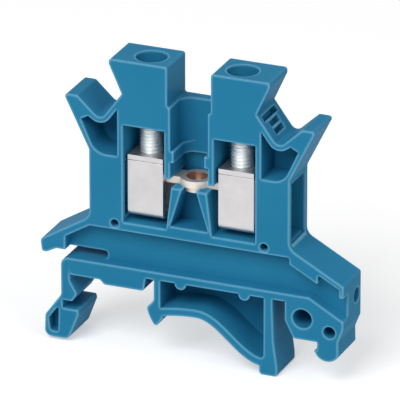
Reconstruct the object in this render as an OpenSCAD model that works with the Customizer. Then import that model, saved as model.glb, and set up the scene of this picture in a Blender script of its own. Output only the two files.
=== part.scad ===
// Feed-through terminal block for a 35 mm top-hat rail: one moulded housing, a
// current bar and two screw clamps. X runs along the wires, Y through the
// thickness with the open side towards -Y, and Z = 0 is the top of the rail.

/* [Housing] */
// Thickness of the block, which is its pitch on the rail
block_t = 6.2; // [6.2:0.1:8]
// Wall on the closed side
wall_t = 0.9; // [0.7:0.1:0.9]
// Moulded ribs and linings
rib_t = 0.8; // [0.7:0.05:0.9]
// Towers, from the top of the rail to their top face
top_z = 34.5; // [34:0.5:38]
// Gap between the two towers
gap_w = 6.0; // [5.6:0.1:6.2]
// Width of a tower's top face
tower_w = 8.0; // [7.6:0.1:8.4]
// Width across the two wire entry faces
body_w = 27.6; // [27:0.2:28.4]
// Width across the tips of the marker wings
wing_w = 34.6; // [34:0.2:36]
// Reach of the base to its left, hooked end
base_left = 20.7; // [20.2:0.1:22]
// Reach of the base to its right end
base_right = 21.2; // [20.8:0.1:22.4]
// Depth of the recess along the base
band_d = 1.7; // [1.5:0.1:3]
// Depth of the recess in each wing
wing_pocket_d = 4.6; // [4:0.1:4.8]

/* [Rail foot] */
// Width of the rail over its flanges
rail_w = 35; // [34.6:0.1:35.4]
// Thickness of the rail's sheet
rail_t = 1.0; // [0.9:0.1:1.5]
// Clear width inside the rail's channel
rail_in_w = 25; // [24.6:0.1:25.4]
// Play of the feet on the rail
rail_fit = 0.15; // [0.1:0.05:0.3]
// Underside of the beam above the rail
beam_z = 4.9; // [4.6:0.1:5.2]
// Height of the beam
beam_h = 1.1; // [0.9:0.1:1.3]
// Thickness of the spring arch
arch_t = 1.1; // [0.8:0.1:1.3]
// Height of the flex slot above the left foot
slot_h = 1.1; // [0.9:0.1:1.3]

/* [Screw clamps] */
// Distance of each clamp from the middle
clamp_x = 6.25; // [6.2:0.05:6.4]
// Height below the bar that is free for a wire
wire_gap = 4.4; // [4.2:0.1:4.6]
// Length of a cage along the wire
cage_w = 4.9; // [4.7:0.1:5.1]
// Height of a cage
cage_h = 8.5; // [8.3:0.1:8.7]
// Sheet of the cage
cage_t = 0.65; // [0.5:0.05:0.7]
// Doubled, threaded top of the cage
cage_top_t = 1.5; // [1.2:0.1:1.5]
// Play of the cage in its well
cage_fit = 0.2; // [0.15:0.05:0.25]
// Room between a cage and the sides of its well
well_fit = 0.4; // [0.3:0.05:0.5]
// Travel of the cage below the half-open place
cage_down = 0.6; // [0.4:0.1:0.8]
// Travel of the cage above the half-open place
cage_up = 3.7; // [3:0.1:4]
// Thread of the clamp screw
screw_d = 3.0; // [2.6:0.1:3]
// Head of the clamp screw
head_d = 3.8; // [3.6:0.1:3.9]
// Height of the screw head
head_h = 2.4; // [2:0.1:2.6]
// Width of the driver slot
driver_w = 0.8; // [0.6:0.1:1]
// Depth of the driver slot
driver_h = 1.1; // [0.8:0.1:1.3]
// Play of the head in the tower
head_fit = 0.15; // [0.1:0.05:0.2]
// Play of the screw in the cage's thread
thread_fit = 0.06; // [0.04:0.01:0.1]
// Play of the screw between the sides of its cage
window_fit = 0.1; // [0.06:0.02:0.12]
// Play under the screw's tip and under its head
tip_fit = 0.05; // [0.03:0.01:0.1]

/* [Current bar] */
// Top of the bar above the rail
bar_z = 19.1; // [18.8:0.1:19.5]
// Thickness of the bar
bar_t = 1.0; // [0.8:0.1:1.1]
// Width of the bar where it passes the cages
bar_w = 2.5; // [2.2:0.1:2.5]
// Eye in the middle of the bar
eye_d = 4.5; // [4.2:0.1:4.5]
// Thread for a bridge screw in the eye
bridge_d = 2.6; // [2.4:0.1:2.8]
// Collar drawn down below the eye
collar_d = 3.6; // [3.4:0.1:3.8]
// Height of the collar
collar_h = 0.7; // [0.5:0.1:0.9]
// Play of the bar under the ribs that hold it
bar_fit = 0.1; // [0.05:0.05:0.2]

/* [Hidden] */
$fn = 48;
eps = 0.05;
round_steps = 5;

// Places through the thickness
open_y = -block_t/2;
closed_y = block_t/2;
inner_y = closed_y - wall_t;
cage_d = screw_d + 2*window_fit + 2*cage_t;
clamp_y = inner_y - cage_fit - cage_d/2;

// Heights of the clamp, from the bar down and up
bar_z0 = bar_z - bar_t;
cage_z0 = bar_z0 - wire_gap - cage_t;
cage_z1 = cage_z0 + cage_h;
well_z0 = cage_z0 - cage_down - cage_fit;
well_z1 = cage_z1 + cage_up + 2*cage_fit;
shoulder_t = 0.8;
shoulder_z = well_z1 + shoulder_t;
head_z0 = shoulder_z + tip_fit;
head_z1 = head_z0 + head_h;

// The well around a cage
well_x0 = clamp_x - cage_w/2 - well_fit;
well_x1 = clamp_x + cage_w/2 + well_fit;

// Outline of the upper part
tower_in = gap_w/2;
tower_out = tower_in + tower_w;
tower_round = 0.35;
tower_side_h = 0.7;
rib_x = well_x1 + rib_t;
neck_x = rib_x - 0.65;
neck_z = top_z - 4.6;
post_x = body_w/2;
wing_x = wing_w/2;
wing_z = top_z - 5.7;
wing_round = 0.35;
wing_flat = 1.9;
ledge_z = top_z - 5.5;

// The marker groove between tower and wing
groove_r = 0.9;
groove_x = rib_x + 2.45;
groove_z = top_z - 8.2;
groove_a0 = 216;
groove_a1 = 315;
marker_rows = 3;
marker_h = 0.75;
marker_d = rib_t + 0.3;

// The wire entry through a post
post_front_t = 0.7;
entry_z0 = well_z0 + 0.6;
entry_z1 = cage_z1 - 1.1;
post_z1 = entry_z1 + 1.2;
entry_lead = 0.5;

// The pedestal below the bar and the channel above it
ped_top = 2.45;
ped_bottom = well_x0 - 0.25;
ped_wall = 0.55;
ped_top_wall = 1.5;
ped_d = 3.6;
channel_w = gap_w - 0.8;
channel_z0 = bar_z + 2.4;
channel_y = closed_y - 1.6;
channel_r = 1.5;
shelf_w = 0.5;
shelf_h = 1.6;

// The base
base_top = well_z0;
base_rib = 1.2;
post_fillet = 1.5;
side_hole_d = 2.0;
side_hole_depth = 3.0;
side_hole_y = inner_y - 0.5;
side_hole_z = beam_z + 0.4;
beam_z1 = beam_z + beam_h;
slot_z0 = beam_z1;
slot_z1 = slot_z0 + slot_h;
base_end_z = slot_z1 + 1.1;
hook_z = slot_z1 + 1.0;
slot_end = -12;
beam_end = rail_w/2 - 1.2;

// The feet
rail_x = rail_w/2;
notch_x = rail_x + rail_fit;
lip_z = -rail_t - rail_fit;
foot_x = rail_in_w/2 + 0.7;
strut_x = rail_in_w/2 - 0.3;

// The spring arch
crest_x = 1.0;
crest_z = 1.1;
arch_left_r = 22;
arch_left_x = -4.5;
arch_right_x = strut_x - 1.9;
arch_drop = 5.2;
arch_steps = 28;

// Small holes
peg_d = 1.1;
peg_x = 10.3;
peg_z = base_top - 0.35;
peg_depth = 3;
foot_hole_d = 2.6;
foot_hole_small_d = 1.6;
foot_hole_depth = 4;

// Points along an arc from angle a0 to a1
function arc(c, r, a0, a1, n = 10) =
    [for (i = [0:n]) let (a = a0 + (a1 - a0)*i/n) [c[0] + r*cos(a), c[1] + r*sin(a)]];

// Corner of an outline at p between its neighbours a and b, rounded to the radius r
function unit(v) = v/norm(v);
function corner(a, p, b, r) =
    let (u = unit(a - p), v = unit(b - p), half = acos(u*v)/2,
         c = p + unit(u + v)*r/sin(half),
         s = p + u*r/tan(half) - c, e = p + v*r/tan(half) - c,
         a0 = atan2(s[1], s[0]), turn = atan2(e[1], e[0]) - a0)
    arc(c, r, a0, a0 + (turn > 180 ? turn - 360 : turn < -180 ? turn + 360 : turn), round_steps);

// Outline from points [x, z] that stay sharp and points [x, z, radius] that are rounded
function flat_point(p) = [p[0], p[1]];
function rounded(points) =
    let (n = len(points))
    [for (i = [0:n - 1])
        each len(points[i]) == 2 ? [points[i]]
            : corner(flat_point(points[(i + n - 1)%n]), flat_point(points[i]),
                     flat_point(points[(i + 1)%n]), points[i][2])];

// Middle line of the spring arch: a flat bow up to its crest, then an S down to the right strut
function arch_z(x) = x < crest_x
    ? crest_z - pow(x - crest_x, 2)/(2*arch_left_r)
    : crest_z - arch_drop*(1 - cos(180*(x - crest_x)/(arch_right_x - crest_x)))/2;
function arch_slope(x) = (arch_z(x + eps) - arch_z(x - eps))/(2*eps);
function arch_x(i) = arch_left_x + (arch_right_x - arch_left_x)*i/arch_steps;
function arch_point(x, off) =
    let (s = arch_slope(x), n = sqrt(1 + s*s)) [x - off*s/n, arch_z(x) + off/n];

// Extrudes an outline in X and Z through the thickness, from y0 to y1
module slab(y0, y1) {
    translate([0, y1, 0])
        rotate([90, 0, 0])
            linear_extrude(y1 - y0) children();
}

// Draws the children on both sides of the middle
module both_sides() {
    children();
    mirror([1, 0, 0]) children();
}

// Right half of the towers, posts and wings
module upper_half_outline() {
    polygon(rounded([
        [0, base_top - base_rib], [0, ledge_z], [tower_in, ledge_z, 0.3],
        [tower_in, top_z, tower_round], [tower_out, top_z, tower_round],
        [tower_out, top_z - tower_side_h, 0.3], [neck_x, neck_z], [neck_x, base_top - base_rib]]));
    polygon(rounded(concat(
        [[neck_x - eps, neck_z], [neck_x, neck_z]],
        arc([groove_x, groove_z + groove_r], groove_r, groove_a0, groove_a1),
        [[wing_x - wing_flat, wing_z, 0.4], [wing_x, wing_z, wing_round], [post_x, post_z1, 1],
         [post_x, base_top - base_rib], [neck_x - eps, base_top - base_rib]])));
}

// Recess below the marker groove, with a floor that sweeps up into the wing
module wing_pocket_outline() {
    floor_r = 2.2;
    floor_z = post_z1 - 0.4;
    tilt = 270 - groove_a0;
    lining_z = neck_z - (rib_x - neck_x)*tan(tilt) - rib_t/cos(tilt);
    polygon(concat(
        [[rib_x, floor_z]],
        arc([post_x - 2.3, floor_z + floor_r], floor_r, 270, 336),
        [[post_x + 1.1, post_z1 + 4], [post_x + 0.1, groove_z - 0.1]],
        arc([groove_x, groove_z + groove_r], groove_r + rib_t, 300, groove_a0),
        [[rib_x, lining_z]]));
}

// Base plate with its sloping shoulders, the left hook and the flex slot below it
module base_outline() {
    polygon(rounded([
        [-post_x + eps, base_top + post_fillet], [-post_x, base_top + post_fillet],
        [-post_x, base_top, post_fillet], [-base_left, hook_z, 0.6],
        [-base_left + 0.2, slot_z1 - 0.7, 0.35],
        [-base_left + 0.9, slot_z1 - 0.7, 0.3], [-base_left + 2.2, slot_z1, 0.6],
        [slot_end, slot_z1, 0.35], [slot_end, slot_z0, 0.35],
        [-rail_x - 0.35, slot_z0, 1.0], [-rail_x - 0.35, beam_z],
        [foot_x, beam_z], [beam_end, beam_z1], [base_right, beam_z1 - 3.2],
        [base_right, base_end_z, 0.3], [post_x, base_top, post_fillet],
        [post_x, base_top + post_fillet], [post_x - eps, base_top + post_fillet]]));
}

// Heights of the base's slopes at x on the right and at -x on the left
function base_slope_z(x) = base_top + (base_end_z - base_top)*(x - post_x)/(base_right - post_x);
function hook_slope_z(x) = base_top + (hook_z - base_top)*(x - post_x)/(base_left - post_x);

// Recess along the base, between its top rib and the beam, open at its right end and into the flex slot
module band_outline() {
    band_z1 = base_top - base_rib;
    thick_rib = 2.1;
    step_x = base_right - 3.5;
    rim_x = base_right - 0.6;
    hook_x = rail_x - 0.3;
    lip_x = rail_x + 0.4;
    open_z1 = beam_z1 + 0.6;
    open_z0 = beam_z1 - 2.7;
    polygon(rounded([
        [-lip_x, beam_z1], [-lip_x, slot_z1 - eps], [-hook_x, slot_z1 - eps],
        [-hook_x, hook_slope_z(hook_x) - base_rib, 0.3], [-post_x, band_z1, 0.6], [post_x, band_z1, 0.3],
        [post_x, base_slope_z(post_x) - thick_rib, 0.3], [step_x, base_slope_z(step_x) - thick_rib, 0.15],
        [step_x, base_slope_z(step_x) - rib_t, 0.2], [rim_x, base_slope_z(rim_x) - rib_t, 0.2],
        [rim_x, open_z1, 0.15], [base_right + eps, open_z1], [base_right + eps, open_z0],
        [beam_end + 0.2, beam_z1, 0.4]]));
}

// Flexible left foot, drawn with its reach as a positive number
module left_foot_outline() {
    mirror([1, 0])
        polygon(rounded([
            [rail_x + 0.35, beam_z + eps], [rail_x + 0.35, 0.7, 1.0], [rail_x + 2.6, -2.4, 1.0],
            [rail_x + 2.7, -5.4, 0.9], [rail_x - 0.7, -5.4, 0.9], [rail_x - 2.1, lip_z - 0.6, 0.4],
            [rail_x - 2.0, lip_z, 0.25], [notch_x, lip_z], [notch_x, 0], [rail_x - 1.2, 0, 0.2],
            [rail_x - 1.9, 1.1, 0.5], [rail_x - 0.9, 2.8, 0.6], [rail_x - 0.9, beam_z + eps]]));
}

// Grip for a screwdriver in the left foot
module foot_grip_outline() {
    mirror([1, 0])
        polygon(rounded([
            [rail_x + 0.7, -0.9, 0.15], [rail_x + 0.8, -4.6, 0.3], [rail_x + 1.9, -4.6, 0.4],
            [rail_x + 2.1, -2.8, 0.5]]));
}

// Fixed right foot that hooks over the flange of the rail
module right_foot_outline() {
    hook_r = 1.8;
    polygon(rounded(concat(
        [[foot_x, beam_z1], [foot_x, 2.4, 1.0], [foot_x + 1.2, 0, 0.5], [notch_x, 0], [notch_x, lip_z],
         [rail_x - 0.3, lip_z - 0.1]],
        arc([rail_x + 1.5, -0.7], hook_r, 205, 330),
        [[base_right - 0.7, 0.4, 0.6], [base_right, 2.2, 0.6], [base_right, beam_z1 - 3.2],
         [beam_end, beam_z1]])));
}

// Beam block, struts and spring arch between the feet
module spring_outline() {
    block_end = -6;
    strut_l = arch_left_x - 0.4;
    polygon(rounded([
        [-rail_x + 0.9, beam_z + eps], [-rail_x + 0.9, beam_z - 1.2, 0.3],
        [slot_end - 0.4, beam_z - 1.2, 0.3], [slot_end + 0.2, beam_z - 1.8, 0.4],
        [block_end - 0.3, beam_z - 1.8, 0.4], [block_end, beam_z + eps]]));
    polygon(rounded([
        [strut_l, beam_z + eps], [strut_l, 2.0, 0.8], [strut_l - 1.0, 0.9, 0.5], [strut_l - 0.6, -0.3, 0.8],
        [strut_l + 0.25, -1.7, 0.35], [strut_l + 1.3, -0.2, 0.5], [strut_l + 0.9, 0.9],
        [strut_l + 0.9, beam_z + eps]]));
    polygon(concat(
        [for (i = [0:arch_steps]) arch_point(arch_x(i), arch_t/2)],
        [for (i = [arch_steps:-1:0]) arch_point(arch_x(i), -arch_t/2)]));
    polygon(rounded([
        [strut_x - 1.9, beam_z + eps], [strut_x - 0.7, beam_z + eps], [strut_x - 0.5, -1, 2],
        [strut_x, -4.5, 1], [strut_x, -5.8, 0.4], [strut_x - 2.5, -5.8, 0.5],
        [strut_x - 2.5, -3.7, 0.2], [strut_x - 1.9, -3.2]]));
    for (x = [-1.2, 7.6])
        translate([x, beam_z]) circle(0.8);
}

// Bay between beam and arch, closed by the wall on the far side
module bay_outline() {
    polygon(concat(
        [[arch_left_x, beam_z + eps]],
        [for (i = [0:arch_steps]) [arch_x(i), arch_z(arch_x(i))]],
        [[arch_right_x + eps, beam_z + eps]]));
}

// Well of the right clamp, with the slanted side of the pedestal
module well_outline() {
    polygon([
        [well_x1, well_z0], [well_x1, well_z1], [well_x0, well_z1], [well_x0, bar_z + bar_fit],
        [ped_top, bar_z + bar_fit], [ped_top, bar_z0], [ped_bottom, well_z0]]);
}

// Plan of the channel down to the bridge thread, rounded at its back
module channel_plan() {
    translate([-channel_w/2, open_y - eps])
        square([channel_w, channel_y - channel_r - open_y + eps]);
    translate([-channel_w/2 + channel_r, open_y - eps])
        square([channel_w - 2*channel_r, channel_y - open_y + eps]);
    for (side = [-1, 1])
        translate([side*(channel_w/2 - channel_r), channel_y - channel_r]) circle(channel_r);
}

// Three rows of marker slots through the lining, along the inner slope of the groove
module marker_slots() {
    slope_end = [groove_x + groove_r*cos(groove_a0), groove_z + groove_r*(1 + sin(groove_a0))];
    run = slope_end - [neck_x, neck_z];
    tilt = atan2(run[1], run[0]);
    for (i = [0:marker_rows - 1]) {
        at = [neck_x, neck_z] + run*(0.24 + 0.28*i);
        slot_y = i == 0 ? 0.72*block_t : 0.45*block_t;
        translate([at[0], 0, at[1]])
            rotate([0, -tilt, 0])
                cube([marker_h, slot_y, 2*marker_d], center = true);
    }
}

// Blind hole in the right end of the base
module side_hole() {
    translate([base_right - side_hole_depth, side_hole_y, side_hole_z])
        rotate([0, 90, 0]) cylinder(d = side_hole_d, h = side_hole_depth + eps);
}

module wire_entry() {
    entry_y = inner_y - open_y - post_front_t;
    translate([well_x1 - eps, open_y + post_front_t, entry_z0])
        cube([post_x - well_x1 + 2*eps, entry_y, entry_z1 - entry_z0]);
    slab(open_y + post_front_t, inner_y)
        polygon([
            [post_x - entry_lead, entry_z0], [post_x + eps, entry_z0 - entry_lead - eps],
            [post_x + eps, entry_z1 + entry_lead + eps], [post_x - entry_lead, entry_z1]]);
}

module housing_solid() {
    both_sides() slab(open_y, closed_y) upper_half_outline();
    slab(open_y, closed_y) base_outline();
    slab(open_y, closed_y) left_foot_outline();
    slab(open_y, closed_y) right_foot_outline();
    slab(open_y, closed_y) spring_outline();
    slab(open_y, closed_y) bay_outline();
}

// Recesses that the open side shows
module housing_recesses() {
    front = open_y - eps;
    slab(front, inner_y) both_sides() well_outline();
    slab(front, open_y + wing_pocket_d) both_sides() wing_pocket_outline();
    slab(front, open_y + band_d) band_outline();
    slab(front, inner_y) difference() {
        bay_outline();
        spring_outline();
        translate([-base_left, beam_z]) square([base_left + base_right, beam_h]);
    }
    slab(front, open_y + ped_d)
        polygon([
            [-ped_bottom + ped_wall, well_z0 + 0.5], [ped_bottom - ped_wall, well_z0 + 0.5],
            [ped_top - ped_top_wall, bar_z0], [-ped_top + ped_top_wall, bar_z0]]);
    slab(front, inner_y)
        translate([-channel_w/2, bar_z0]) square([channel_w, channel_z0 - bar_z0]);
    slab(front, open_y + band_d) foot_grip_outline();
}

// Bores and passages
module housing_holes() {
    both_sides() {
        translate([clamp_x, clamp_y, shoulder_z]) cylinder(d = head_d + 2*head_fit, h = top_z);
        translate([clamp_x, clamp_y, well_z1 - eps])
            cylinder(d = screw_d + 2*head_fit, h = shoulder_t + 2*eps);
        wire_entry();
        marker_slots();
        translate([peg_x, open_y + peg_depth, peg_z])
            rotate([90, 0, 0]) cylinder(d = peg_d, h = peg_depth + eps);
    }
    translate([0, 0, channel_z0 + shelf_h]) linear_extrude(top_z) channel_plan();
    translate([0, 0, channel_z0 - eps])
        linear_extrude(shelf_h + 2*eps) scale([1 - 2*shelf_w/channel_w, 1]) channel_plan();
    side_hole();
    translate([0, clamp_y, bar_z0 - collar_h - bar_fit])
        cylinder(d = collar_d + 4*bar_fit, h = collar_h + 2*bar_fit);
    translate([rail_x - 1.9, open_y + foot_hole_depth, 2.9])
        rotate([90, 0, 0]) cylinder(d = foot_hole_d, h = foot_hole_depth + eps);
    translate([rail_x + 1.8, open_y + foot_hole_depth, 1.6])
        rotate([90, 0, 0]) cylinder(d = foot_hole_small_d, h = foot_hole_depth + eps);
}

module housing() {
    color("#287da5")
        difference() {
            housing_solid();
            housing_recesses();
            housing_holes();
        }
}

module current_bar() {
    bar_end = clamp_x + cage_w/2;
    color("#e1d7cd")
        translate([0, clamp_y, 0])
            difference() {
                union() {
                    translate([0, 0, bar_z0]) linear_extrude(bar_t) {
                        square([2*bar_end, bar_w], center = true);
                        circle(d = eye_d);
                    }
                    translate([0, 0, bar_z0 - collar_h]) cylinder(d = collar_d, h = collar_h + eps);
                }
                translate([0, 0, bar_z0 - collar_h - eps])
                    cylinder(d = bridge_d, h = bar_t + collar_h + 2*eps);
            }
}

// Outline of a strip folded up on both sides of its floor, with fold radii for floor and back
module folded_outline(w, h, floor_r, back_r) {
    polygon(rounded([[-w/2, 0, floor_r], [w/2, 0, floor_r], [w/2, h, back_r], [-w/2, h]]));
}

// Folded cage: a tube along X whose ends lap in a threaded top, with the cut end of the lap in front
module clamp_cage() {
    inner_fold_r = cage_t/2;
    outer_fold_r = inner_fold_r + cage_t;
    lap_fold_r = 0.9;
    window_w = cage_d - 2*cage_t;
    window_h = cage_h - cage_t - cage_top_t;
    translate([clamp_x, clamp_y, 0])
        difference() {
            translate([-cage_w/2, 0, cage_z0])
                rotate([90, 0, 90])
                    linear_extrude(cage_w) folded_outline(cage_d, cage_h, outer_fold_r, lap_fold_r);
            translate([-cage_w/2 - eps, 0, cage_z0 + cage_t])
                rotate([90, 0, 90])
                    linear_extrude(cage_w + 2*eps)
                        folded_outline(window_w, window_h, inner_fold_r, lap_fold_r - cage_t);
            translate([0, 0, cage_z1 - cage_top_t - eps])
                cylinder(d = screw_d + 2*thread_fit, h = cage_top_t + 2*eps);
        }
}

module left_clamp_cage() {
    color("#d9d7d9") mirror([1, 0, 0]) clamp_cage();
}

module right_clamp_cage() {
    color("#d9d7d9") clamp_cage();
}

// Slotted screw whose tip bears on the bar and whose head sits on the shoulder of the tower
module clamp_screw() {
    tip_chamfer = 0.5;
    head_chamfer = 0.3;
    tip_z = bar_z + tip_fit;
    translate([clamp_x, clamp_y, 0])
        difference() {
            rotate_extrude()
                polygon([
                    [0, tip_z], [screw_d/2 - tip_chamfer, tip_z], [screw_d/2, tip_z + tip_chamfer],
                    [screw_d/2, head_z0], [head_d/2, head_z0], [head_d/2, head_z1 - head_chamfer],
                    [head_d/2 - head_chamfer, head_z1], [0, head_z1]]);
            translate([-head_d, -driver_w/2, head_z1 - driver_h])
                cube([2*head_d, driver_w, driver_h + eps]);
        }
}

module left_clamp_screw() {
    color("#e1e6e8") mirror([1, 0, 0]) clamp_screw();
}

module right_clamp_screw() {
    color("#e1e6e8") clamp_screw();
}

housing();
current_bar();
left_clamp_cage();
right_clamp_cage();
left_clamp_screw();
right_clamp_screw();
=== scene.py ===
# Looks of a feed-through terminal block: a moulded blue housing, a current bar,
# two folded clamp cages and their two screws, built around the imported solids.
import math

import bmesh
import bpy
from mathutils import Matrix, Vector


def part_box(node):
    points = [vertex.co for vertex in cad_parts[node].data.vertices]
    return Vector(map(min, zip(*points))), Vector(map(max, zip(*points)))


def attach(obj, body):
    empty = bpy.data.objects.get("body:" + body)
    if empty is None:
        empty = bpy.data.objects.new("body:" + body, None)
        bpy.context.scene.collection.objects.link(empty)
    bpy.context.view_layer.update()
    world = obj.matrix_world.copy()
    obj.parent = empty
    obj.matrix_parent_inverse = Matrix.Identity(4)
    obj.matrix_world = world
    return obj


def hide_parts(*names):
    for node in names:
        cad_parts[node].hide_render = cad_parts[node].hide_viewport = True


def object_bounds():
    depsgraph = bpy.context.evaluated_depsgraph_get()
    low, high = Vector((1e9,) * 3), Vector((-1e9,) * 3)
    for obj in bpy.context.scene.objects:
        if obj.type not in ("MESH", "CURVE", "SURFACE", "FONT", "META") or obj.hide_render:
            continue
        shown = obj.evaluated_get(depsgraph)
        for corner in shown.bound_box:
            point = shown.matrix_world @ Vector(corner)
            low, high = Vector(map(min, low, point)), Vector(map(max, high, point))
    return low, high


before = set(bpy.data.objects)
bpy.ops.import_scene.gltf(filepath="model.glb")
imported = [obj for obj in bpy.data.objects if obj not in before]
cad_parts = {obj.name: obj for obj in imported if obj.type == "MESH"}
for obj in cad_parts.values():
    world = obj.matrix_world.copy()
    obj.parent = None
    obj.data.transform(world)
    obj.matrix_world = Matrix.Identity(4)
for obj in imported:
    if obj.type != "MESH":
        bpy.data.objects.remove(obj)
cad_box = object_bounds()


# Housing
# One injection moulding in blue polyamide, open on the side that faces the camera.
# Plastic doesn't fill a knife edge in the tool, so every outer rim is a little round.
MM = 0.001
MERGE_REACH = 0.001 * MM
FLAT_ANGLE = math.radians(0.5)
LEVEL_ANGLE = math.radians(0.1)
FILL_SLACK = 0.002
RIM_STEPS = 2
HOUSING_RIM = 0.095 * MM
HOUSING_BEND = 40


def solid_copy(node, name):
    """Returns a new object with a merged copy of a solid's mesh, its flat faces in one piece each."""
    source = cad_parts[node].data
    mesh = bpy.data.meshes.new(name)
    mesh.from_pydata([v.co for v in source.vertices], [], [p.vertices for p in source.polygons])
    work = bmesh.new()
    work.from_mesh(mesh)
    bmesh.ops.remove_doubles(work, verts=work.verts, dist=MERGE_REACH)
    bmesh.ops.dissolve_limit(work, angle_limit=FLAT_ANGLE, verts=work.verts, edges=work.edges)
    work.to_mesh(mesh)
    work.free()
    piece = bpy.data.objects.new(name, mesh)
    bpy.context.scene.collection.objects.link(piece)
    return piece


def settle(piece):
    """Turns a piece and its modifiers into a plain mesh."""
    bpy.context.view_layer.update()
    seen = piece.evaluated_get(bpy.context.evaluated_depsgraph_get())
    mesh = bpy.data.meshes.new_from_object(seen)
    mesh.name = piece.name
    piece.modifiers.clear()
    piece.data = mesh


def refill_flats(piece):
    """Fills each flat area anew from its rims, so that no seam runs from a hole across the area."""
    work = bmesh.new()
    work.from_mesh(piece.data)
    work.faces.index_update()
    waiting = {face for face in work.faces if face.material_index == 0}
    areas = []
    for start in work.faces:
        area = [start] if start in waiting else []
        waiting.discard(start)
        for face in area:
            beside = {other for edge in face.edges for other in edge.link_faces}
            level = [o for o in beside & waiting if face.normal.angle(o.normal, math.pi) < LEVEL_ANGLE]
            area.extend(sorted(level, key=lambda other: other.index))
            waiting.difference_update(level)
        if len(area) > 1:
            areas.append(area)
    for area in areas:
        inside = set(area)
        rims = [e for f in area for e in f.edges if len(inside.intersection(e.link_faces)) == 1]
        normal = max(area, key=lambda face: face.calc_area()).normal.copy()
        made = bmesh.ops.triangle_fill(work, edges=rims, normal=normal, use_beauty=True)["geom"]
        filled = [part for part in made if isinstance(part, bmesh.types.BMFace)]
        before, after = (sum(face.calc_area() for face in faces) for faces in (area, filled))
        # a fill spills over where two rims touch, and there the old faces stay
        fits = abs(after - before) < FILL_SLACK * before
        bmesh.ops.delete(work, geom=area if fits else filled, context="FACES")
    work.to_mesh(piece.data)
    work.free()


def round_rims(piece, width, angle):
    """Rounds outer rims that bend by more than an angle in degrees, noted in the attribute rim."""
    work = bmesh.new()
    work.from_mesh(piece.data)
    outer = work.edges.layers.float.new("bevel_weight_edge")
    for edge in work.edges:
        edge[outer] = float(edge.is_convex and edge.calc_face_angle(0) > math.radians(angle))
    work.to_mesh(piece.data)
    work.free()
    rims = piece.modifiers.new("rims", "BEVEL")
    rims.width = width
    rims.segments = RIM_STEPS
    rims.limit_method = "WEIGHT"
    rims.use_clamp_overlap = False
    rims.loop_slide = False
    # the rounded faces are told from the plain ones by the second of two empty material slots
    rims.material = 1
    piece.data.materials.append(None)
    piece.data.materials.append(None)
    settle(piece)
    refill_flats(piece)
    mesh = piece.data
    rim = mesh.attributes.new("rim", "FLOAT", "FACE")
    rim.data.foreach_set("value", [float(p.material_index == 1) for p in mesh.polygons])
    mesh.materials.clear()
    mesh.polygons.foreach_set("material_index", [0] * len(mesh.polygons))


def smooth(piece, angle):
    """Shades a piece smooth below an angle in degrees: plain faces stay flat and rims bend between them."""
    mesh = piece.data
    limit = math.radians(angle)
    mesh.polygons.foreach_set("use_smooth", [True] * len(mesh.polygons))
    mesh.set_sharp_from_angle(angle=limit)
    rim = mesh.attributes["rim"].data
    plain = {}
    for face in mesh.polygons:
        for corner in face.vertices:
            if rim[face.index].value == 0:
                plain.setdefault(corner, []).append(face)
    shading = [corner.vector.copy() for corner in mesh.corner_normals]
    for face in mesh.polygons:
        for loop, corner in zip(face.loop_indices, face.vertices):
            level = [f for f in plain.get(corner, []) if f.normal.angle(face.normal, math.pi) < limit]
            if level:
                shading[loop] = sum((f.area * f.normal for f in level), Vector()).normalized()
    mesh.normals_split_custom_set(shading)


def linear(code):
    """Turns an sRGB hex colour into linear light."""
    parts = [int(code[i:i + 2], 16) / 255 for i in (1, 3, 5)]
    return [*[c / 12.92 if c <= 0.04045 else ((c + 0.055) / 1.055) ** 2.4 for c in parts], 1]


def add_node(tree, kind, values=(), links=(), **settings):
    """Adds a node with its settings, the values of its sockets and the links into them."""
    made = tree.nodes.new(kind)
    for field, value in settings.items():
        setattr(made, field, value)
    for socket, value in dict(values).items():
        made.inputs[socket].default_value = value
    for socket, source in dict(links).items():
        tree.links.new(source, made.inputs[socket])
    return made


def new_material(name):
    """Returns a new material with its tree and its surface shader."""
    material = bpy.data.materials.new(name)
    material.use_nodes = True
    return material, material.node_tree, material.node_tree.nodes["Principled BSDF"]


# Moulded polyamide: pigmented through and through, with the fine satin of a spark-eroded tool,
# broad faint flow clouds, and a painted highlight that pales the skin along its outer rims.
FLOW_SIZE = 9 * MM
# reach of the painted rim highlight, less than the 0.4 mm wall beside the hole in the right end, which
# would show through as a rim
PAINTED_HIGHLIGHT_REACH = 0.38 * MM
# the eroded grain is about 0.05 mm wide and is drawn at 0.16 mm so that it shows
GRAIN_SIZE = 0.16 * MM
GRAIN_DEPTH = 0.02 * MM
polyamide, tree, shader = new_material("moulded_polyamide")
place = add_node(tree, "ShaderNodeTexCoord").outputs["Object"]
flow = add_node(tree, "ShaderNodeTexNoise", {"Scale": 1 / FLOW_SIZE, "Detail": 3}, {"Vector": place})
skin = add_node(
    tree, "ShaderNodeMix", {"A": linear("#2079a1"), "B": linear("#2e88b0")},
    {"Factor": flow.outputs["Fac"]}, data_type="RGBA")
# painted highlight: near an outer rim the skin is painted paler, towards #6cb2d4
stock = add_node(
    tree, "ShaderNodeAmbientOcclusion", {"Distance": PAINTED_HIGHLIGHT_REACH}, inside=True, only_local=True, samples=16)
painted_highlight_share = add_node(
    tree, "ShaderNodeMapRange", {"From Min": 0.97, "From Max": 0.66, "To Min": 0.0, "To Max": 0.85},
    {"Value": stock.outputs["AO"]})
colour = add_node(
    tree, "ShaderNodeMix", {"B": linear("#6cb2d4")},
    {"Factor": painted_highlight_share.outputs["Result"], "A": skin.outputs["Result"]}, data_type="RGBA")
grain = add_node(tree, "ShaderNodeTexNoise", {"Scale": 1 / GRAIN_SIZE, "Detail": 2}, {"Vector": place})
gloss = add_node(
    tree, "ShaderNodeMapRange", {"To Min": 0.46, "To Max": 0.62}, {"Value": grain.outputs["Fac"]})
relief = add_node(
    tree, "ShaderNodeBump", {"Strength": 0.35, "Distance": GRAIN_DEPTH}, {"Height": grain.outputs["Fac"]})
tree.links.new(colour.outputs["Result"], shader.inputs["Base Color"])
tree.links.new(gloss.outputs["Result"], shader.inputs["Roughness"])
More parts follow.
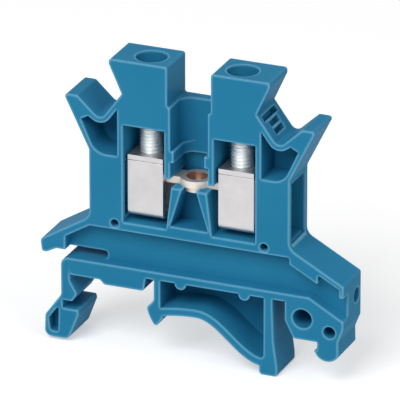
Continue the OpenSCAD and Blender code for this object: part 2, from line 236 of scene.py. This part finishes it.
tree.links.new(relief.outputs["Normal"], shader.inputs["Normal"])
shader.inputs["IOR"].default_value = 1.53
shader.inputs["Specular IOR Level"].default_value = 0.06

housing = solid_copy("housing", "moulded_housing")
round_rims(housing, HOUSING_RIM, HOUSING_BEND)
smooth(housing, HOUSING_BEND)
housing.data.materials.append(polyamide)
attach(housing, "block")
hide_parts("housing")


# Current bar
# A strip of tinned copper, 1 mm thick, with an eye in its middle that is drawn down into a
# collar and tapped M3 after plating, so that bare copper shows in the thread.
M3_RADIUS = 1.5 * MM
M3_PITCH = 0.5 * MM
STEPS_PER_TURN = 8
TAP_DEPTH = 0.2 * MM
TAP_OVER = 0.3 * MM
COPPER_REACH = 1.02 * M3_RADIUS
UPRIGHT_LIMIT = 0.95
BAR_RIM = 0.08 * MM
BAR_BEND = 40


def thread_tree():
    """Builds the nodes of a right-handed thread: a rod along Z whose skin winds in and out."""
    made = bpy.data.node_groups.new("thread", "GeometryNodeTree")
    made.interface.new_socket("Geometry", in_out="OUTPUT", socket_type="NodeSocketGeometry")
    for name in ("Radius", "Depth", "Pitch", "Length", "Taper"):
        made.interface.new_socket(name, in_out="INPUT", socket_type="NodeSocketFloat")
    made.interface.new_socket("Foot", in_out="INPUT", socket_type="NodeSocketVector")
    made.interface.new_socket("Steps", in_out="INPUT", socket_type="NodeSocketInt")
    made.interface.new_socket("Material", in_out="INPUT", socket_type="NodeSocketMaterial")
    size = add_node(made, "NodeGroupInput").outputs
    rod = add_node(
        made, "GeometryNodeMeshCylinder", {"Vertices": 48, "Fill Segments": 1},
        {"Side Segments": size["Steps"], "Radius": size["Radius"], "Depth": size["Length"]})
    at = add_node(made, "GeometryNodeInputPosition").outputs["Position"]
    axis = add_node(made, "ShaderNodeSeparateXYZ", {}, {"Vector": at}).outputs
    turn = add_node(made, "ShaderNodeMath", {}, {0: axis["Y"], 1: axis["X"]}, operation="ARCTAN2")
    part = add_node(made, "ShaderNodeMath", {1: math.tau}, {0: turn.outputs[0]}, operation="DIVIDE")
    rise = add_node(
        made, "ShaderNodeMath", {}, {0: axis["Z"], 1: size["Pitch"]}, operation="DIVIDE")
    wound = add_node(
        made, "ShaderNodeMath", {}, {0: rise.outputs[0], 1: part.outputs[0]}, operation="SUBTRACT")
    double = add_node(made, "ShaderNodeMath", {1: 2.0}, {0: wound.outputs[0]}, operation="MULTIPLY")
    flank = add_node(made, "ShaderNodeMath", {1: 1.0}, {0: double.outputs[0]}, operation="PINGPONG")
    # crest and root are a little flat, as a rolled thread is
    groove = add_node(
        made, "ShaderNodeMapRange", {"From Min": 0.2, "From Max": 0.85}, {"Value": flank.outputs[0]})
    cut = add_node(
        made, "ShaderNodeMath", {}, {0: groove.outputs["Result"], 1: size["Depth"]}, operation="MULTIPLY")
    share = add_node(
        made, "ShaderNodeMath", {}, {0: cut.outputs[0], 1: size["Radius"]}, operation="DIVIDE")
    kept = add_node(made, "ShaderNodeMath", {0: 1.0}, {1: share.outputs[0]}, operation="SUBTRACT")
    half = add_node(made, "ShaderNodeMath", {1: 0.5}, {0: size["Length"]}, operation="MULTIPLY")
    height = add_node(
        made, "ShaderNodeMath", {}, {0: axis["Z"], 1: half.outputs[0]}, operation="ADD")
    # the tip runs down to two thirds of the radius over the length of the taper
    tip = add_node(
        made, "ShaderNodeMapRange", {"To Min": 0.67, "To Max": 1.0},
        {"Value": height.outputs[0], "From Max": size["Taper"]})
    radial = add_node(
        made, "ShaderNodeMath", {}, {0: kept.outputs[0], 1: tip.outputs["Result"]}, operation="MULTIPLY")
    scale = add_node(
        made, "ShaderNodeCombineXYZ", {"Z": 1.0}, {"X": radial.outputs[0], "Y": radial.outputs[0]})
    moved = add_node(
        made, "ShaderNodeVectorMath", {}, {0: at, 1: scale.outputs[0]}, operation="MULTIPLY")
    wavy = add_node(
        made, "GeometryNodeSetPosition", {},
        {"Geometry": rod.outputs["Mesh"], "Position": moved.outputs[0]})
    lift = add_node(made, "ShaderNodeCombineXYZ", {}, {"Z": half.outputs[0]})
    stand = add_node(
        made, "ShaderNodeVectorMath", {}, {0: size["Foot"], 1: lift.outputs[0]}, operation="ADD")
    put = add_node(
        made, "GeometryNodeTransform", {},
        {"Geometry": wavy.outputs["Geometry"], "Translation": stand.outputs[0]})
    real = add_node(made, "GeometryNodeRealizeInstances", {}, {"Geometry": put.outputs["Geometry"]})
    skin = add_node(
        made, "GeometryNodeSetMaterial", {},
        {"Geometry": real.outputs["Geometry"], "Material": size["Material"]})
    add_node(made, "NodeGroupOutput", {}, {"Geometry": skin.outputs["Geometry"]})
    return made


thread = thread_tree()


def threaded_rod(name, sizes):
    """Returns a rod with an M3 thread, made by the thread nodes from the inputs given by name."""
    piece = bpy.data.objects.new(name, bpy.data.meshes.new(name))
    bpy.context.scene.collection.objects.link(piece)
    wind = piece.modifiers.new("thread", "NODES")
    wind.node_group = thread
    steps = round(STEPS_PER_TURN * sizes["Length"] / M3_PITCH)
    given = {"Radius": M3_RADIUS, "Pitch": M3_PITCH, "Steps": steps, **sizes}
    for item in thread.interface.items_tree:
        if item.in_out == "INPUT":
            wind[item.identifier] = given[item.name]
    settle(piece)
    return piece


def cut_away(piece, tool):
    """Takes the shape of a tool out of a piece and deletes the tool."""
    cut = piece.modifiers.new("cut", "BOOLEAN")
    cut.operation = "DIFFERENCE"
    cut.object = tool
    cut.solver = "EXACT"
    settle(piece)
    bpy.data.objects.remove(tool)


# Tin over copper: bright but softly clouded, a little warm where the copper shines through.
CLOUD_SIZE = 1.2 * MM
tin, tree, shader = new_material("tinned_copper")
place = add_node(tree, "ShaderNodeTexCoord").outputs["Object"]
cloud = add_node(tree, "ShaderNodeTexNoise", {"Scale": 1 / CLOUD_SIZE, "Detail": 4}, {"Vector": place})
plating = add_node(
    tree, "ShaderNodeMix", {"A": linear("#e0d3c6"), "B": linear("#efe9e2")},
    {"Factor": cloud.outputs["Fac"]}, data_type="RGBA")
sheen = add_node(
    tree, "ShaderNodeMapRange", {"To Min": 0.5, "To Max": 0.66}, {"Value": cloud.outputs["Fac"]})
tree.links.new(plating.outputs["Result"], shader.inputs["Base Color"])
tree.links.new(sheen.outputs["Result"], shader.inputs["Roughness"])
shader.inputs["Metallic"].default_value = 1

# Bare copper: cut clean by the tap, with a trace of brown where air has dulled it.
DULL_SIZE = 0.5 * MM
copper, tree, shader = new_material("tapped_copper")
place = add_node(tree, "ShaderNodeTexCoord").outputs["Object"]
dull = add_node(tree, "ShaderNodeTexNoise", {"Scale": 1 / DULL_SIZE, "Detail": 3}, {"Vector": place})
metal = add_node(
    tree, "ShaderNodeMix", {"A": linear("#c4866a"), "B": linear("#e8bfa8")},
    {"Factor": dull.outputs["Fac"]}, data_type="RGBA")
tree.links.new(metal.outputs["Result"], shader.inputs["Base Color"])
shader.inputs["Metallic"].default_value = 1
shader.inputs["Roughness"].default_value = 0.42

bar = solid_copy("current_bar", "current_bar_strip")
low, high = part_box("current_bar")
bar_axis = Vector(((low[0] + high[0]) / 2, (low[1] + high[1]) / 2, 0))
round_rims(bar, BAR_RIM, BAR_BEND)
tap = threaded_rod("tap", {
    "Depth": TAP_DEPTH, "Taper": 0.0, "Length": high[2] - low[2] + 2 * TAP_OVER,
    "Foot": bar_axis + Vector((0, 0, low[2] - TAP_OVER)), "Material": copper})
cut_away(bar, tap)
bar.data.materials.clear()
bar.data.materials.append(tin)
bar.data.materials.append(copper)
for face in bar.data.polygons:
    from_axis = (face.center - bar_axis).to_2d().length
    face.material_index = int(from_axis < COPPER_REACH and abs(face.normal.z) < UPRIGHT_LIMIT)
smooth(bar, BAR_BEND)
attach(bar, "block")
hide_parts("current_bar")


# Clamp cages
# Each cage is a strip of sheet steel folded round into a box, its two ends lapped at the top and
# tapped for the screw. The lap leaves a thin seam, which shows on the cage's ends and its front.
SEAM_DROP = 0.72 * MM
SEAM_WIDTH = 0.05 * MM
# the saw's width and depth, and how far back its middle lies, as shares of the cage
SAW_WIDE = 1.1
SAW_DEEP = 0.85
SAW_BACK = 0.35
CAGE_RIM = 0.05 * MM
CAGE_CORNER = 50
CAGE_BEND = 45

# Zinc-plated sheet: pale and satin, with the faint grain of cold rolling along the strip.
ROLLED_WIDTH = 0.12 * MM
ROLLED_LENGTH = 2.5 * MM
ROLLED_DEPTH = 0.01 * MM
PATCH_SIZE = 1.8 * MM
sheet, tree, shader = new_material("plated_sheet_steel")
place = add_node(tree, "ShaderNodeTexCoord").outputs["Object"]
along = add_node(
    tree, "ShaderNodeMapping", {"Scale": (1 / ROLLED_WIDTH, 1 / ROLLED_WIDTH, 1 / ROLLED_LENGTH)},
    {"Vector": place})
rolled = add_node(
    tree, "ShaderNodeTexNoise", {"Scale": 1.0, "Detail": 3}, {"Vector": along.outputs["Vector"]})
patch = add_node(tree, "ShaderNodeTexNoise", {"Scale": 1 / PATCH_SIZE, "Detail": 3}, {"Vector": place})
zinc = add_node(
    tree, "ShaderNodeMix", {"A": linear("#c6c4c5"), "B": linear("#dcdadb")},
    {"Factor": patch.outputs["Fac"]}, data_type="RGBA")
satin = add_node(
    tree, "ShaderNodeMapRange", {"To Min": 0.34, "To Max": 0.5}, {"Value": rolled.outputs["Fac"]})
lines = add_node(
    tree, "ShaderNodeBump", {"Strength": 0.25, "Distance": ROLLED_DEPTH}, {"Height": rolled.outputs["Fac"]})
tree.links.new(zinc.outputs["Result"], shader.inputs["Base Color"])
tree.links.new(satin.outputs["Result"], shader.inputs["Roughness"])
tree.links.new(lines.outputs["Normal"], shader.inputs["Normal"])
shader.inputs["Metallic"].default_value = 1

for side in ("left", "right"):
    cage = solid_copy(side + "_clamp_cage", side + "_cage_strip")
    low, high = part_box(side + "_clamp_cage")
    saw = bpy.data.objects.new("saw", bpy.data.meshes.new("saw"))
    bpy.context.scene.collection.objects.link(saw)
    work = bmesh.new()
    bmesh.ops.create_cube(work, size=1)
    wide = (high[0] - low[0]) * SAW_WIDE
    deep = (high[1] - low[1]) * SAW_DEEP
    bmesh.ops.scale(work, vec=(wide, deep, SEAM_WIDTH), verts=work.verts)
    middle = ((low[0] + high[0]) / 2, low[1] + SAW_BACK * (high[1] - low[1]), high[2] - SEAM_DROP)
    bmesh.ops.translate(work, vec=middle, verts=work.verts)
    work.to_mesh(saw.data)
    work.free()
    cut_away(cage, saw)
    round_rims(cage, CAGE_RIM, CAGE_CORNER)
    smooth(cage, CAGE_BEND)
    cage.data.materials.append(sheet)
    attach(cage, side + "_cage")
    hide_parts(side + "_clamp_cage")


# Clamp screws
# Slotted M3 screws, turned and rolled in steel. The head sits on a shoulder in its tower, so the
# screw only turns, and its thread draws the cage up or down.
THREAD_DEPTH = 0.28 * MM
TIP_TAPER = 0.5 * MM
HEAD_HEIGHT = 2.4 * MM
# the solid's head is kept from just above the neck, and the wound shank reaches a little into it
HEAD_LIFT = 0.02 * MM
SHANK_OVER = 0.1 * MM
HEAD_RIM = 0.06 * MM
HEAD_CORNER = 40
SCREW_BEND = 35

# Bright zinc on turned steel: smooth, a little blue, with faint stains from the plating bath.
STAIN_SIZE = 1.5 * MM
screw_steel, tree, shader = new_material("bright_zinc_steel")
place = add_node(tree, "ShaderNodeTexCoord").outputs["Object"]
stain = add_node(tree, "ShaderNodeTexNoise", {"Scale": 1 / STAIN_SIZE, "Detail": 3}, {"Vector": place})
bright = add_node(
    tree, "ShaderNodeMix", {"A": linear("#e0e4e5"), "B": linear("#f2f5f5")},
    {"Factor": stain.outputs["Fac"]}, data_type="RGBA")
polish = add_node(
    tree, "ShaderNodeMapRange", {"To Min": 0.5, "To Max": 0.62}, {"Value": stain.outputs["Fac"]})
tree.links.new(bright.outputs["Result"], shader.inputs["Base Color"])
tree.links.new(polish.outputs["Result"], shader.inputs["Roughness"])
shader.inputs["Metallic"].default_value = 1

for side in ("left", "right"):
    screw = solid_copy(side + "_clamp_screw", side + "_screw_turned")
    low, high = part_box(side + "_clamp_screw")
    neck = high[2] - HEAD_HEIGHT
    work = bmesh.new()
    work.from_mesh(screw.data)
    everything = work.verts[:] + work.edges[:] + work.faces[:]
    bmesh.ops.bisect_plane(
        work, geom=everything, plane_co=(0, 0, neck + HEAD_LIFT), plane_no=(0, 0, 1), clear_inner=True)
    open_rim = [e for e in work.edges if e.is_boundary]
    bmesh.ops.contextual_create(work, geom=open_rim)
    bmesh.ops.recalc_face_normals(work, faces=work.faces)
    work.to_mesh(screw.data)
    work.free()
    round_rims(screw, HEAD_RIM, HEAD_CORNER)
    foot = Vector(((low[0] + high[0]) / 2, (low[1] + high[1]) / 2, low[2]))
    shank = threaded_rod(side + "_shank", {
        "Depth": THREAD_DEPTH, "Taper": TIP_TAPER, "Length": neck - low[2] + SHANK_OVER,
        "Foot": foot, "Material": screw_steel})
    work = bmesh.new()
    work.from_mesh(screw.data)
    work.from_mesh(shank.data)
    work.to_mesh(screw.data)
    work.free()
    bpy.data.objects.remove(shank)
    screw.data.materials.clear()
    screw.data.materials.append(screw_steel)
    smooth(screw, SCREW_BEND)
    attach(screw, side + "_screw")
    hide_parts(side + "_clamp_screw")


# Studio
# A white floor under the two lowest feet, a soft key lamp above in front, a weaker one on the
# right, an even sky, and a long lens from the right and above.
FLOOR_REACH = 1.5
FLOOR_GLOW = 0.45
SKY_LIGHT = 0.28
LAMP_AIM = Vector((0, 0, 0.01))
AZIMUTH = math.radians(22.5)
ELEVATION = math.radians(23)
DISTANCE = 0.92
FRAME_HEIGHT = 0.0535


def in_sight(tree):
    """Returns a value that is 1 for what the camera sees, also in a mirror or through glass, else 0."""
    ray = add_node(tree, "ShaderNodeLightPath").outputs
    seen = add_node(
        tree, "ShaderNodeMath", {},
        {0: ray["Is Camera Ray"], 1: ray["Is Glossy Ray"]}, operation="MAXIMUM")
    shown = add_node(
        tree, "ShaderNodeMath", {},
        {0: seen.outputs[0], 1: ray["Is Transmission Ray"]}, operation="MAXIMUM")
    return shown.outputs[0]


def soft_lamp(name, at, size, power):
    """Hangs a square soft lamp that faces the block."""
    lamp = bpy.data.lights.new(name, "AREA")
    lamp.size = size
    lamp.energy = power
    hung = bpy.data.objects.new(name, lamp)
    bpy.context.scene.collection.objects.link(hung)
    hung.location = at
    hung.rotation_euler = (LAMP_AIM - Vector(at)).to_track_quat("-Z", "Y").to_euler()


# White paper: matt, and lit up a little for the camera so that it runs into the white sky.
paper, tree, shader = new_material("white_paper")
glow = add_node(tree, "ShaderNodeMath", {1: FLOOR_GLOW}, {0: in_sight(tree)}, operation="MULTIPLY")
tree.links.new(glow.outputs[0], shader.inputs["Emission Strength"])
shader.inputs["Base Color"].default_value = (0.8, 0.8, 0.8, 1)
shader.inputs["Roughness"].default_value = 1
shader.inputs["Specular IOR Level"].default_value = 0
shader.inputs["Emission Color"].default_value = (1, 1, 1, 1)

low, high = cad_box
floor = bpy.data.objects.new("floor", bpy.data.meshes.new("floor"))
bpy.context.scene.collection.objects.link(floor)
work = bmesh.new()
bmesh.ops.create_grid(work, x_segments=1, y_segments=1, size=FLOOR_REACH)
bmesh.ops.translate(work, vec=(0, 0, low.z), verts=work.verts)
work.to_mesh(floor.data)
work.free()
floor.data.materials.append(paper)

world = bpy.data.worlds.new("studio")
world.use_nodes = True
bpy.context.scene.world = world
tree = world.node_tree
sky = add_node(tree, "ShaderNodeMapRange", {"To Min": SKY_LIGHT, "To Max": 1.0}, {"Value": in_sight(tree)})
tree.links.new(sky.outputs["Result"], tree.nodes["Background"].inputs["Strength"])
tree.nodes["Background"].inputs["Color"].default_value = (1, 1, 1, 1)

soft_lamp("key", at=(-0.1, -0.6, 0.65), size=0.5, power=4.6)
soft_lamp("fill", at=(0.7, -0.25, 0.5), size=0.6, power=1.8)

camera = bpy.data.objects.new("camera", bpy.data.cameras.new("camera"))
bpy.context.scene.collection.objects.link(camera)
back = Vector((
    math.sin(AZIMUTH) * math.cos(ELEVATION),
    -math.cos(AZIMUTH) * math.cos(ELEVATION),
    math.sin(ELEVATION)))
camera.location = (low + high) / 2 + back * DISTANCE
camera.rotation_euler = back.to_track_quat("Z", "Y").to_euler()
camera.data.lens = camera.data.sensor_width * DISTANCE / FRAME_HEIGHT
bpy.context.scene.camera = camera
bpy.context.scene.view_settings.view_transform = "Standard"
